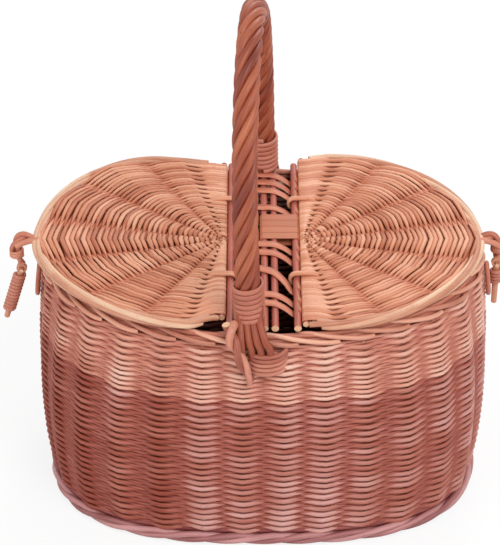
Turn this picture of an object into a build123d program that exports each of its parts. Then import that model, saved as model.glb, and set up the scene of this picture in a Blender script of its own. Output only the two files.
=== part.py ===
from build123d import *
from math import copysign, cos, hypot, pi, radians, sin, tan
import os

os.makedirs("parts", exist_ok=True)

# The basket stands on z = 0 with its length along X and its front towards -Y. Sizes are in millimetres.

# Wall: an oval of upright stakes. Its sizes are taken along the line of the stakes' centres
rim_half_length = 195.0
rim_half_depth = 134.0
siding_top = 226.0
belly = 7.0
foot_tuck = 5.0
foot_squareness = 2.75
rim_squareness = 2.1
stake_count = 30
stake_radius = 2.4
weaver_thickness = 3.2
knee_rise = 4.2
outer_hollow = 2.0
colour_change = 169.0
slot_clearance = 0.3

# Floor
floor_thickness = 6.4
cross_stick_count = 7
cross_stick_spacing = 44.0
cross_stick_radius = 2.8
long_stick_count = 3
long_stick_spacing = 46.0
long_stick_radius = 1.5
foot_rod_radius = 3.3

# Rim border: the stakes' ends, each laid over the next ones
border_rod_radius = 2.4
border_reach = 2.25
border_inner_offset = -5.0
border_width = 11.0
border_drop = 6.8

# Bridge between the lids
bridge_stick_radius = 3.2
hinge_x = 29.5
inner_stick_count = 4
inner_stick_spacing = 9.0
inner_stick_middle = -3.6
bridge_half_run = 131.0
skein_thickness = 0.6
skein_width = 5.0
skein_places = [100.0, 84.0, -16.0, -38.0, -84.0]
wrap_start = 2.0
wrap_turns = 4
wrap_turn_width = 10.0
wrap_turn_gap = 0.6

# Handle: a bow from front to back, roped from six strands round a core
handle_rise = 228.0
handle_half_span = 124.0
handle_front_x = -12.0
handle_back_x = 1.0
handle_sway = 18.5
core_radius = 3.2
strand_count = 6
strand_radius = 3.6
strand_line = 7.6
rope_pitch = 100.0
rope_steps = 44
binding_height = 39.0
binding_turns = 7
binding_cane_radius = 1.1

# Lids. Each one's front and back edges are bowed in their own way
left_reach = 210.0
left_front_depth = 130.0
left_front_widest = 68.0
left_front_corner = 119.0
left_back_depth = 142.0
left_back_widest = 98.0
left_back_corner = 133.0
right_reach = 201.0
right_front_depth = 132.0
right_front_widest = 62.0
right_front_corner = 129.0
right_back_depth = 146.0
right_back_widest = 62.0
right_back_corner = 141.0
front_roundness = 1.7
back_roundness = 2.0
corner_share = 0.12
rim_rod_radius = 2.3
edge_stick_radius = 2.7
rib_count = 7
rib_radius = 2.2
rib_fan = 72.0
lid_weave_thickness = 5.0
lid_ridge_radius = 4.3
hinge_gap = 1.2
hinge_loop_radius = 1.5
hinge_loop_run = 14.0
hinge_loop_places = [66.0, -56.0]

# Fastenings
ring_rod_radius = 2.2
ring_half_width = 8.5
ring_half_height = 16.0
ring_level = 203.0
tie_radius = 2.8
tie_bend_radius = 4.0
tie_setback = 5.5
pin_radius = 1.8
pin_reach = 6.0
eye_clearance = 0.4
eye_wall = 2.6
eye_width = 3.6
left_tie_reach = 11.0
right_tie_reach = 12.5
left_tie_bulge = 17.5
right_tie_bulge = 15.0
tie_start = 1.0
left_tie_drop = 28.0
right_tie_drop = 22.0
peg_sides = 8
peg_radius = 3.2
peg_tip_radius = 2.6
left_peg_length = 54.0
right_peg_length = 41.0
left_peg_slant = 17.0
whipping_length = 43.0
whipping_turns = 9
whipping_cane_radius = 0.6
collar_length = 18.0
collar_turns = 4
collar_cane_radius = 1.0
wound_from_top = 2.5

# Clearance where one piece rests on another, and the fit of sleeves that are wound on
seat_gap = 0.3
wound_gap = 0.05

# Levels and lines that follow from the sizes above
border_top = siding_top + seat_gap + 2 * border_rod_radius + border_drop
hinge_level = border_top + seat_gap + bridge_stick_radius
lid_level = border_top + seat_gap + 2 * rim_rod_radius
edge_x = hinge_x + bridge_stick_radius + hinge_gap + edge_stick_radius
rib_start = edge_x + edge_stick_radius + seat_gap
handle_foot = hinge_level + bridge_stick_radius + seat_gap
curve_samples = 2000


def even_shares(curve, count):
    """Shares of a curve, from 0 to 1, that cut it into count equal lengths."""
    lengths = [0.0]
    last = curve(0.0)
    for sample in range(1, curve_samples + 1):
        point = curve(sample / curve_samples)
        lengths.append(lengths[-1] + (point - last).length)
        last = point
    shares = []
    sample = 0
    for number in range(count + 1):
        wanted = lengths[-1] * number / count
        while sample < curve_samples and lengths[sample] < wanted:
            sample += 1
        shares.append(sample / curve_samples)
    return shares


def path_planes(curve, shares, side):
    """Planes across a curve, each with its x axis turned as near as it goes to side."""
    step = 1 / curve_samples
    planes = []
    for share in shares:
        run = curve(min(share + step, 1.0)) - curve(max(share - step, 0.0))
        planes.append(Plane(origin=curve(share), x_dir=side, z_dir=run.normalized()))
    return planes


def rod_sections(planes, radius, sides=6, shift=(0, 0)):
    """The cross-sections of a rod, one polygon on each plane."""
    sections = []
    for plane in planes:
        with BuildSketch(plane) as section:
            with Locations(shift):
                RegularPolygon(radius, sides)
        sections.append(section.sketch)
    return sections


def bent_rod(points, radius, side, sides=6):
    """The cross-sections of a rod that runs straight from point to point."""
    places = [Vector(point) for point in points]
    planes = []
    for number, place in enumerate(places):
        ahead = places[min(number + 1, len(places) - 1)]
        behind = places[max(number - 1, 0)]
        planes.append(Plane(origin=place, x_dir=side, z_dir=(ahead - behind).normalized()))
    return rod_sections(planes, radius, sides)


# The wall's oval. It swells to a belly half way up, and at the foot it is squarer and a little smaller
def stake_line(height):
    """Half length and half depth of the oval of stake centres at a height."""
    share = height / siding_top
    growth = belly * 4 * share * (1 - share) - foot_tuck * (1 - share) ** 5
    return rim_half_length + growth, rim_half_depth + growth


def oval_point(share, height, outward=0.0, along=0.0):
    """A point beside the stake line, at a share of the way round from +X."""
    half_length, half_depth = stake_line(height)
    power = foot_squareness + (rim_squareness - foot_squareness) * height / siding_top
    angle = 2 * pi * share
    x = cos(angle) / half_length
    y = sin(angle) / half_depth
    reach = (abs(x) ** power + abs(y) ** power) ** (-1 / power)
    slope_x = copysign(abs(x) ** (power - 1), x) / half_length
    slope_y = copysign(abs(y) ** (power - 1), y) / half_depth
    normal = Vector(slope_x, slope_y).normalized()
    tangent = Vector(-normal.Y, normal.X)
    line = Vector(reach * cos(angle), reach * sin(angle), height)
    return line + normal * outward + tangent * along


def rim_curve(share):
    return oval_point(share, siding_top)


parts_of_pitch = 4
pitch_shares = even_shares(rim_curve, stake_count * parts_of_pitch)


def pitch_share(number):
    """The share of the way round at a number of stake pitches from the first stake."""
    step = round(number * parts_of_pitch)
    turns, rest = divmod(step, stake_count * parts_of_pitch)
    return turns + pitch_shares[rest]


# Floor: slit cross sticks, long sticks threaded through them, and the weave between
floor_half_length, floor_half_depth = [
    half - stake_radius - seat_gap for half in stake_line(foot_rod_radius)
]
stick_level = floor_thickness - cross_stick_radius + seat_gap
middle_cross = (cross_stick_count - 1) / 2
middle_long = (long_stick_count - 1) / 2
cross_places = [(number - middle_cross) * cross_stick_spacing for number in range(cross_stick_count)]
long_places = [(number - middle_long) * long_stick_spacing for number in range(long_stick_count)]
stick_end_margin = 5.0


def floor_half_run(place, half_across, half_along):
    """Half the floor's width through a line at a distance from its middle."""
    share = (1 - abs(place / half_across) ** foot_squareness) ** (1 / foot_squareness)
    return half_along * share - stick_end_margin


with BuildPart() as base_long_sticks:
    for place in long_places:
        run = floor_half_run(place, floor_half_depth, floor_half_length)
        with BuildSketch(Plane.YZ.offset(-run)):
            with Locations((place, stick_level)):
                RegularPolygon(long_stick_radius, 6)
        extrude(amount=2 * run)
base_long_sticks.part.label = "base_long_sticks"
export_step(base_long_sticks.part, "parts/base_long_sticks.step")

with BuildPart() as base_cross_sticks:
    for place in cross_places:
        run = floor_half_run(place, floor_half_length, floor_half_depth)
        with BuildSketch(Plane.XZ.offset(-run)):
            with Locations((place, stick_level)):
                RegularPolygon(cross_stick_radius, 6)
        extrude(amount=2 * run)
    with BuildSketch(Plane.YZ.offset(-floor_half_length)):
        for place in long_places:
            with Locations((place, stick_level)):
                Rectangle(2 * (long_stick_radius + slot_clearance), 2 * (long_stick_radius + slot_clearance))
    extrude(amount=2 * floor_half_length, mode=Mode.SUBTRACT)
base_cross_sticks.part.label = "base_cross_sticks"
export_step(base_cross_sticks.part, "parts/base_cross_sticks.step")

floor_corners = 56
floor_edge = -stake_radius - seat_gap
floor_points = [
    oval_point(number / floor_corners, foot_rod_radius, floor_edge) for number in range(floor_corners)
]
with BuildPart() as base_weave:
    with BuildSketch(Plane.XY):
        with BuildLine():
            Polyline([(point.X, point.Y) for point in floor_points], close=True)
        make_face()
    extrude(amount=floor_thickness)
    with BuildSketch(Plane.XY.offset(stick_level - cross_stick_radius - seat_gap)):
        for place in cross_places:
            run = floor_half_run(place, floor_half_length, floor_half_depth) + slot_clearance
            with Locations((place, 0)):
                Rectangle(2 * (cross_stick_radius + slot_clearance), 2 * run)
    extrude(amount=floor_thickness, mode=Mode.SUBTRACT)
    with BuildSketch(Plane.XY.offset(stick_level - long_stick_radius - seat_gap)):
        for place in long_places:
            run = floor_half_run(place, floor_half_depth, floor_half_length) + slot_clearance
            with Locations((0, place)):
                Rectangle(2 * run, 2 * (long_stick_radius + slot_clearance))
    extrude(amount=floor_thickness, mode=Mode.SUBTRACT)
base_weave.part.label = "base_weave"
export_step(base_weave.part, "parts/base_weave.step")

# Foot wale: two thick rods, one on the other, round the foot of the wall
foot_levels = [foot_rod_radius, 3 * foot_rod_radius + wound_gap]
foot_segments = 30
siding_foot = foot_levels[-1] + foot_rod_radius + seat_gap
with BuildPart() as foot_wale:
    for level in foot_levels:
        outward = stake_radius + 2 * seat_gap + foot_rod_radius

        def foot_curve(share):
            return oval_point(share / 2, level, outward)

        shares = [number / foot_segments for number in range(foot_segments + 1)]
        loft(rod_sections(path_planes(foot_curve, shares, (0, 0, 1)), foot_rod_radius), ruled=True)
    mirror(about=Plane.XZ)
foot_wale.part.label = "foot_wale"
export_step(foot_wale.part, "parts/foot_wale.step")

# Side stakes, and the siding that is woven round them. The siding shows each stake as a ridge outside
# and as a slot inside, where the stake can be seen
wall_levels = [siding_foot, 66.0, colour_change, siding_top]
outer_ridge = stake_radius + knee_rise
inner_face = -weaver_thickness - 0.4
slot_half_width = stake_radius + slot_clearance


def outer_outline(height):
    points = []
    for number in range(stake_count):
        points.append(oval_point(pitch_share(number), height, outer_ridge))
        points.append(oval_point(pitch_share(number + 0.5), height, outer_hollow))
    return points


def inner_outline(height):
    points = []
    for number in range(stake_count):
        share = pitch_share(number)
        points.append(oval_point(share, height, inner_face, -slot_half_width))
        points.append(oval_point(share, height, slot_half_width, -slot_half_width))
        points.append(oval_point(share, height, slot_half_width, slot_half_width))
        points.append(oval_point(share, height, inner_face, slot_half_width))
        points.append(oval_point(pitch_share(number + 0.5), height, -outer_hollow))
    return points


def wall_sections(outline, levels):
    sections = []
    for level in levels:
        with BuildSketch(Plane.XY.offset(level)) as section:
            with BuildLine():
                Polyline([(point.X, point.Y) for point in outline(level)], close=True)
            make_face()
        sections.append(section.sketch)
    return sections


stakes = []
for number in range(stake_count):
    sections = []
    for level in [foot_rod_radius] + wall_levels:
        with BuildSketch(Plane.XY.offset(level)) as section:
            centre = oval_point(pitch_share(number), level)
            with Locations((centre.X, centre.Y)):
                RegularPolygon(stake_radius, 5, rotation=360 * pitch_share(number))
        sections.append(section.sketch)
    stakes.append(loft(sections, ruled=True, mode=Mode.PRIVATE))
with BuildPart() as side_stakes:
    add(stakes)
side_stakes.part.label = "side_stakes"
export_step(side_stakes.part, "parts/side_stakes.step")

with BuildPart() as lower_siding:
    loft(wall_sections(outer_outline, wall_levels[:3]), ruled=True)
    loft(wall_sections(inner_outline, wall_levels[:3]), ruled=True, mode=Mode.SUBTRACT)
lower_siding.part.label = "lower_siding"
export_step(lower_siding.part, "parts/lower_siding.step")

with BuildPart() as upper_siding:
    loft(wall_sections(outer_outline, wall_levels[2:]), ruled=True)
    loft(wall_sections(inner_outline, wall_levels[2:]), ruled=True, mode=Mode.SUBTRACT)
upper_siding.part.label = "upper_siding"
export_step(upper_siding.part, "parts/upper_siding.step")

# Rim border: thirty rods. Each starts inside on top, passes over the next two and ends outside and lower
border_steps = 3
border_rods = []
for number in range(stake_count):
    planes = []
    for step in range(border_steps + 1):
        share = step / border_steps
        place = pitch_share(number + border_reach * share)
        outward = border_inner_offset + border_width * share
        centre = oval_point(place, siding_top, outward)
        tangent = oval_point(place, siding_top, outward, 1.0) - centre
        centre.Z = border_top - border_rod_radius - border_drop * share
        planes.append(Plane(origin=centre, x_dir=(0, 0, 1), z_dir=tangent))
    border_rods.append(loft(rod_sections(planes, border_rod_radius, 5), ruled=True, mode=Mode.PRIVATE))
with BuildPart() as rim_border:
    add(border_rods)
rim_border.part.label = "rim_border"
export_step(rim_border.part, "parts/rim_border.step")

# Bridge: six sticks from front to back. The outer two are the lids' hinge sticks
for side, name in [(-1, "bridge_hinge_stick_left"), (1, "bridge_hinge_stick_right")]:
    with BuildPart() as hinge_stick:
        with BuildSketch(Plane.XZ.offset(-bridge_half_run)):
            with Locations((side * hinge_x, hinge_level)):
                Circle(bridge_stick_radius)
        extrude(amount=2 * bridge_half_run)
    hinge_stick.part.label = name
    export_step(hinge_stick.part, f"parts/{name}.step")

with BuildPart() as bridge_inner_sticks:
    with BuildSketch(Plane.XZ.offset(-bridge_half_run)):
        with Locations((inner_stick_middle, hinge_level)):
            with GridLocations(inner_stick_spacing, 0, inner_stick_count, 1):
                Circle(bridge_stick_radius)
    extrude(amount=2 * bridge_half_run)
bridge_inner_sticks.part.label = "bridge_inner_sticks"
export_step(bridge_inner_sticks.part, "parts/bridge_inner_sticks.step")


def wound_points(first_x, last_x, reach):
    """The corners of a flat band round two sticks, its faces all at one distance from their middles."""
    corner_reach = reach / cos(pi / 8)
    points = []
    for middle_x, first_angle in [(last_x, -3 * pi / 8), (first_x, 5 * pi / 8)]:
        for number in range(4):
            angle = first_angle + number * pi / 4
            points.append((middle_x + corner_reach * cos(angle), hinge_level + corner_reach * sin(angle)))
    return points


def wound_outline(plane, first_x, last_x):
    """The outline of a skein wound flat round the sticks from one to another."""
    inner_reach = bridge_stick_radius + wound_gap
    with BuildSketch(plane) as outline:
        with BuildLine():
            Polyline(wound_points(first_x, last_x, inner_reach + skein_thickness), close=True)
        make_face()
        with BuildLine():
            Polyline(wound_points(first_x, last_x, inner_reach), close=True)
        make_face(mode=Mode.SUBTRACT)
    return outline.sketch


with BuildPart() as bridge_skeins:
    for place in skein_places:
        extrude(wound_outline(Plane.XZ.offset(-place), -hinge_x, hinge_x), amount=skein_width)
bridge_skeins.part.label = "bridge_skeins"
export_step(bridge_skeins.part, "parts/bridge_skeins.step")

wrap_first_x = inner_stick_middle + inner_stick_spacing / 2
with BuildPart() as bridge_wrap:
    for turn in range(wrap_turns):
        place = wrap_start + (turn + 1) * wrap_turn_width
        outline = wound_outline(Plane.XZ.offset(-place), wrap_first_x, hinge_x)
        extrude(outline, amount=wrap_turn_width - wrap_turn_gap)
bridge_wrap.part.label = "bridge_wrap"
export_step(bridge_wrap.part, "parts/bridge_wrap.step")


# Handle. The bow leans a little to the left, as the hand-made one does
def bow(share):
    angle = pi * share
    sway = handle_sway * sin(angle) * (1 - share) ** 2
    x = handle_front_x + (handle_back_x - handle_front_x) * share - sway
    return Vector(x, -handle_half_span * cos(angle), handle_foot + handle_rise * sin(angle))


bow_points = [bow(number / curve_samples) for number in range(curve_samples + 1)]
bow_length = sum((ahead - behind).length for behind, ahead in zip(bow_points, bow_points[1:]))
rope_planes = path_planes(bow, even_shares(bow, rope_steps), (1, 0, 0))
rope_radius = strand_line + strand_radius

with BuildPart() as handle_core:
    loft(rod_sections(rope_planes, core_radius), ruled=True)
handle_core.part.label = "handle_core"
export_step(handle_core.part, "parts/handle_core.step")

strands = []
for strand in range(strand_count):
    sections = []
    for number, plane in enumerate(rope_planes):
        turned = 2 * pi * (strand / strand_count - bow_length * number / rope_steps / rope_pitch)
        shift = (strand_line * cos(turned), strand_line * sin(turned))
        sections.extend(rod_sections([plane], strand_radius, 5, shift))
    strands.append(loft(sections, ruled=True, mode=Mode.PRIVATE))
with BuildPart() as handle_strands:
    add(strands)
handle_strands.part.label = "handle_strands"
export_step(handle_strands.part, "parts/handle_strands.step")


sleeve_sides = 12


def wound_sleeve(plane, inner_radius, cane_radius, turns, length):
    """A sleeve of round turns of cane, closely wound along a straight stretch."""
    sections = []
    for number in range(2 * turns + 1):
        level = length * number / (2 * turns)
        radius = inner_radius + (2 * cane_radius if number % 2 else cane_radius)
        with BuildSketch(plane.offset(level)) as section:
            RegularPolygon(radius, sleeve_sides)
        sections.append(section.sketch)
    with BuildPart() as sleeve:
        loft(sections, ruled=True)
        with BuildSketch(plane):
            RegularPolygon(inner_radius, sleeve_sides, major_radius=False)
        extrude(amount=length, mode=Mode.SUBTRACT)
    return sleeve.part


def leg_plane(foot_share, inner_share):
    foot = bow(foot_share)
    return Plane(origin=foot, x_dir=(1, 0, 0), z_dir=(bow(inner_share) - foot).normalized())


binding_share = 0.065
binding_clearance = 0.9
for name, foot_share, inner_share in [
    ("handle_binding_front", 0.0, binding_share),
    ("handle_binding_back", 1.0, 1.0 - binding_share),
]:
    plane = leg_plane(foot_share, inner_share).offset(4 * seat_gap)
    inner_radius = rope_radius + binding_clearance
    binding = wound_sleeve(plane, inner_radius, binding_cane_radius, binding_turns, binding_height)
    binding.label = name
    export_step(binding, f"parts/{name}.step")

# The handle's ends: below each binding the rods splay over the border and lie against the siding
splay_radius = 2.1
splay_top_spacing = 5.0
splay_low_spacing = 8.0
splay_front_shift = 9.0
splay_drop = 13.0
splay_out = border_inner_offset + border_width + border_rod_radius + splay_radius + seat_gap
for name, facing, middle in [
    ("front_splay_rods", -1, handle_front_x),
    ("back_splay_rods", 1, handle_back_x),
]:
    shift = splay_front_shift if facing < 0 else 0.0
    with BuildPart() as splay_rods:
        for number in range(4):
            offset = number - 1.5
            top_y = facing * (handle_half_span + rope_radius + splay_radius + 2 * binding_cane_radius)
            low_y = facing * (rim_half_depth + splay_out)
            top_x = middle + offset * splay_top_spacing
            low_x = middle + shift + offset * splay_low_spacing
            points = [
                (top_x, top_y, handle_foot + 3.0),
                ((top_x + low_x) / 2, low_y, border_top),
                (low_x, low_y, border_top - splay_drop),
            ]
            loft(bent_rod(points, splay_radius, (1, 0, 0)), ruled=True)
    splay_rods.part.label = name
    export_step(splay_rods.part, f"parts/{name}.step")

# Front tail: two strands of the handle, twisted together down the siding to a point
tail_strand_radius = 2.5
tail_line = 3.0
tail_pitch = 42.0
tail_steps = 14
tail_start_x = -31.0
tail_end_x = -11.0
tail_start_level = border_top + 12.0
tail_end_level = 194.0
tail_taper = 0.55
tail_bend_share = 0.22
tail_hollow = 2.5


def tail_curve(share):
    """The tail's middle line: out over the border, then down the siding."""
    level = tail_start_level + (tail_end_level - tail_start_level) * share
    half_width = tail_line + tail_strand_radius + seat_gap
    over_border = rim_half_depth + border_inner_offset + border_width + border_rod_radius + half_width
    low_wall = stake_line(tail_end_level)[1] + outer_ridge + half_width * tail_taper - tail_hollow
    if share < tail_bend_share:
        beside_rope = handle_half_span + rope_radius
        depth = beside_rope + (over_border - beside_rope) * share / tail_bend_share
    else:
        depth = over_border + (low_wall - over_border) * (share - tail_bend_share) / (1 - tail_bend_share)
    return Vector(tail_start_x + (tail_end_x - tail_start_x) * share, -depth, level)


with BuildPart() as front_tail:
    tail_run = tail_start_level - tail_end_level
    shares = [number / tail_steps for number in range(tail_steps + 1)]
    for strand in range(2):
        sections = []
        for share, plane in zip(shares, path_planes(tail_curve, shares, (1, 0, 0))):
            turned = pi * strand + 2 * pi * tail_run * share / tail_pitch
            size = 1 - (1 - tail_taper) * share
            shift = (size * tail_line * cos(turned), size * tail_line * sin(turned))
            sections.extend(rod_sections([plane], size * tail_strand_radius, 6, shift))
        loft(sections, ruled=True)
front_tail.part.label = "front_tail"
export_step(front_tail.part, "parts/front_tail.step")

# Front lashing: level turns of rod over the siding, beside the tail
lashing_radius = 2.0
lashing_turns = 4
lashing_spacing = 5.6
lashing_left = -8.0
lashing_right = 15.0
lashing_top_level = siding_top - 4.5
lashing_hollow = 0.8
with BuildPart() as front_lashing:
    for turn in range(lashing_turns):
        level = lashing_top_level - turn * lashing_spacing
        depth = stake_line(level)[1] + outer_ridge + seat_gap + lashing_radius - lashing_hollow
        middle = (lashing_left + lashing_right) / 2
        points = [
            (lashing_left, -depth + 0.6, level - 1.0),
            (middle, -depth, level),
            (lashing_right, -depth + 0.6, level + 1.0),
        ]
        loft(bent_rod(points, lashing_radius, (0, 0, 1)), ruled=True)
front_lashing.part.label = "front_lashing"
export_step(front_lashing.part, "parts/front_lashing.step")


# Lids. Each is a flap with one straight side, its edge stick, and ribs that fan from the middle of it
def lid_outline(side, inset=0.0):
    """A function that gives a lid's outline from its front corner round to its back corner."""
    if side < 0:
        reach = left_reach
        halves = [
            (-1, left_front_widest, left_front_depth, left_front_corner, front_roundness),
            (1, left_back_widest, left_back_depth, left_back_corner, back_roundness),
        ]
    else:
        reach = right_reach
        halves = [
            (-1, right_front_widest, right_front_depth, right_front_corner, front_roundness),
            (1, right_back_widest, right_back_depth, right_back_corner, back_roundness),
        ]

    def outline(share):
        facing, widest, depth, corner, roundness = halves[0 if share < 0.5 else 1]
        from_corner = min(share, 1 - share)
        if from_corner < corner_share:
            rest = 1 - from_corner / corner_share
            x = widest + (rib_start - widest) * rest
            y = depth + (corner - depth) * rest**2 - inset
        else:
            angle = pi / 2 * (0.5 - from_corner) / (0.5 - corner_share)
            x = widest + (reach - inset - widest) * cos(angle) ** (2 / roundness)
            y = (depth - inset) * sin(angle) ** (2 / roundness)
        return Vector(side * x, facing * y, lid_level)

    return outline


rim_segments = 26
panel_segments = 30
panel_inset = 2 * rim_rod_radius + 4 * seat_gap
rib_setback = 13.0
rib_angles = [rib_fan * (2 * number / (rib_count - 1) - 1) for number in range(rib_count)]
loop_line = lid_level + edge_stick_radius + seat_gap + hinge_loop_radius - hinge_level
loop_end = hinge_x + hinge_loop_run
loop_bend_steps = 6


def rib_plane(side, angle):
    """A plane across a rib, where the rib leaves the middle of the edge stick."""
    run = Vector(side * cos(radians(angle)), sin(radians(angle)), 0)
    hub = Vector(side * rib_start, 0, lid_level)
    return Plane(origin=hub + run * rib_setback, x_dir=(0, 0, 1), z_dir=run)


def rib_length(side, angle):
    """The run of a rib from the straight edge to just inside the lid's rim rods."""
    outline = lid_outline(side, panel_inset)
    rise = tan(radians(angle))
    lengths = []
    for number in range(curve_samples + 1):
        point = outline(number / curve_samples)
        run = abs(point.X) - rib_start
        if run > 0 and abs(point.Y - run * rise) < 1.0:
            lengths.append(hypot(run, point.Y) - rib_setback)
    return min(lengths)


for side, lid in [(-1, "left_lid"), (1, "right_lid")]:
    outline = lid_outline(side, rim_rod_radius)
    front_corner = outline(0).Y
    back_corner = outline(1).Y

    with BuildPart() as edge_stick:
        with BuildSketch(Plane.XZ.offset(-back_corner)):
            with Locations((side * edge_x, lid_level)):
                Circle(edge_stick_radius)
        extrude(amount=back_corner - front_corner)
    edge_stick.part.label = f"{lid}_edge_stick"
    export_step(edge_stick.part, f"parts/{lid}_edge_stick.step")

    with BuildPart() as rim_rods:
        shares = even_shares(outline, rim_segments)
        for rise in [-rim_rod_radius, rim_rod_radius]:
            sections = []
            for plane in path_planes(outline, shares, (0, 0, 1)):
                plane.origin += Vector(0, 0, rise)
                sections.extend(rod_sections([plane], rim_rod_radius, 6))
            loft(sections, ruled=True)
    rim_rods.part.label = f"{lid}_rim_rods"
    export_step(rim_rods.part, f"parts/{lid}_rim_rods.step")

    with BuildPart() as ribs:
        for angle in rib_angles:
            with BuildSketch(rib_plane(side, angle)):
                RegularPolygon(rib_radius, 6)
            extrude(amount=rib_length(side, angle))
    ribs.part.label = f"{lid}_ribs"
    export_step(ribs.part, f"parts/{lid}_ribs.step")

    panel_outline = lid_outline(side, panel_inset)
    panel_points = [panel_outline(share) for share in even_shares(panel_outline, panel_segments)]
    panel_corners = [(point.X, point.Y) for point in panel_points]
    with BuildPart() as weave:
        for angle in rib_angles:
            with BuildSketch(rib_plane(side, angle)):
                RegularPolygon(lid_ridge_radius, 6)
            extrude(amount=rib_length(side, angle) + lid_ridge_radius)
        with BuildSketch(Plane.XY.offset(lid_level - lid_weave_thickness / 2)):
            with BuildLine():
                Polyline(panel_corners, close=True)
            make_face()
        extrude(amount=lid_weave_thickness)
        with BuildSketch(Plane.XY.offset(lid_level - lid_ridge_radius)):
            with BuildLine():
                Polyline(panel_corners, close=True)
            make_face()
        extrude(amount=2 * lid_ridge_radius, mode=Mode.INTERSECT)
        for angle in rib_angles:
            with BuildSketch(rib_plane(side, angle)):
                RegularPolygon(rib_radius + wound_gap, 6)
            extrude(amount=rib_length(side, angle) + wound_gap, mode=Mode.SUBTRACT)
        with BuildSketch(Plane.XY.offset(lid_level - lid_weave_thickness)):
            for place in hinge_loop_places:
                with Locations((side * (loop_end + loop_line - hinge_loop_radius), place)):
                    Rectangle(4 * hinge_loop_radius, 2 * (hinge_loop_radius + seat_gap))
        extrude(amount=2 * lid_weave_thickness, mode=Mode.SUBTRACT)
    weave.part.label = f"{lid}_weave"
    export_step(weave.part, f"parts/{lid}_weave.step")

    # Hinge loops: long rings that hold the hinge stick and the edge stick side by side
    with BuildPart() as hinge_loops:
        for place in hinge_loop_places:
            planes = []
            for bend_x, first_angle in [(hinge_x, pi / 2), (loop_end, 1.5 * pi)]:
                for number in range(loop_bend_steps + 1):
                    angle = first_angle + pi * number / loop_bend_steps
                    x = side * (bend_x + loop_line * cos(angle))
                    centre = Vector(x, place, hinge_level + loop_line * sin(angle))
                    run = Vector(side * -sin(angle), 0, cos(angle))
                    planes.append(Plane(origin=centre, x_dir=(0, 1, 0), z_dir=run))
            sections = rod_sections(planes, hinge_loop_radius)
            loft(sections, ruled=True)
            loft([sections[-1], sections[0]], ruled=True)
    hinge_loops.part.label = f"{lid}_hinge_loops"
    export_step(hinge_loops.part, f"parts/{lid}_hinge_loops.step")

# Fastenings. A tie at the end of each lid carries a peg, which is pushed through the ring on the wall
for side, end, reach, tie_reach, bulge, drop, peg_length, slant in [
    (-1, "left", left_reach, left_tie_reach, left_tie_bulge, left_tie_drop, left_peg_length, left_peg_slant),
    (1, "right", right_reach, right_tie_reach, right_tie_bulge, right_tie_drop, right_peg_length, 0.0),
]:
    pin_x = side * (reach + tie_reach)
    pin_level = lid_level - drop
    with BuildPart() as tie:
        with BuildLine(Plane.XZ.offset(-tie_setback)) as tie_run:
            FilletPolyline(
                (side * (reach + tie_start), lid_level + 1.0),
                (side * (reach + bulge / 2), lid_level + 4.0),
                (side * (reach + bulge), lid_level - 5.0),
                (pin_x, pin_level - pin_radius),
                radius=tie_bend_radius,
            )
        with BuildSketch(Plane(origin=tie_run.line @ 0, z_dir=tie_run.line % 0)):
            RegularPolygon(tie_radius, peg_sides)
        sweep(path=tie_run.line)
        with BuildSketch(Plane.XZ.offset(-tie_setback)):
            with Locations((pin_x, pin_level)):
                Circle(pin_radius)
        extrude(amount=tie_setback + pin_reach)
    tie.part.label = f"{end}_lid_tie"
    export_step(tie.part, f"parts/{end}_lid_tie.step")

    eye_radius = pin_radius + eye_clearance
    hang = Vector(side * sin(radians(slant)), 0, -cos(radians(slant)))
    pin_centre = Vector(pin_x, 0, pin_level)
    peg_plane = Plane(origin=pin_centre + hang * (eye_radius + eye_wall / 2), x_dir=(0, 1, 0), z_dir=hang)
    with BuildPart() as peg:
        with BuildSketch(peg_plane):
            RegularPolygon(peg_radius, peg_sides)
        with BuildSketch(peg_plane.offset(peg_length)):
            RegularPolygon(peg_tip_radius, peg_sides)
        loft()
        with BuildSketch(Plane.XZ.offset(-eye_width / 2)):
            with Locations((pin_x, pin_level)):
                Circle(eye_radius + eye_wall)
        extrude(amount=eye_width)
        with BuildSketch(Plane.XZ.offset(-peg_radius)):
            with Locations((pin_x, pin_level)):
                Circle(eye_radius)
        extrude(amount=2 * peg_radius, mode=Mode.SUBTRACT)
    peg.part.label = f"{end}_peg"
    export_step(peg.part, f"parts/{end}_peg.step")

    if side < 0:
        whipping_plane = peg_plane.offset(wound_from_top)
        whipping = wound_sleeve(
            whipping_plane, peg_radius + wound_gap, whipping_cane_radius, whipping_turns, whipping_length
        )
        whipping.label = "left_peg_whipping"
        export_step(whipping, "parts/left_peg_whipping.step")
    else:
        collar_plane = peg_plane.offset(wound_from_top)
        collar_bore = peg_radius + wound_gap
        collar = wound_sleeve(collar_plane, collar_bore, collar_cane_radius, collar_turns, collar_length)
        collar.label = "right_peg_collar"
        export_step(collar, "parts/right_peg_collar.step")

    # Wall ring: a ring of rod that lies against the end of the basket and leans with it
    with BuildPart() as wall_ring:
        planes = []
        for number in range(9):
            angle = pi * number / 8 - pi / 2
            level = ring_level + ring_half_height * sin(angle)
            ring_x = stake_line(level)[0] + outer_ridge + seat_gap + ring_rod_radius
            centre = Vector(side * ring_x, ring_half_width * cos(angle), level)
            run = Vector(0, -ring_half_width * sin(angle), ring_half_height * cos(angle))
            planes.append(Plane(origin=centre, x_dir=(1, 0, 0), z_dir=run.normalized()))
        loft(rod_sections(planes, ring_rod_radius), ruled=True)
        mirror(about=Plane.XZ)
    wall_ring.part.label = f"{end}_wall_ring"
    export_step(wall_ring.part, f"parts/{end}_wall_ring.step")
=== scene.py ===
import math
import random

import bmesh
import bpy
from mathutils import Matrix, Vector, noise


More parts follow.
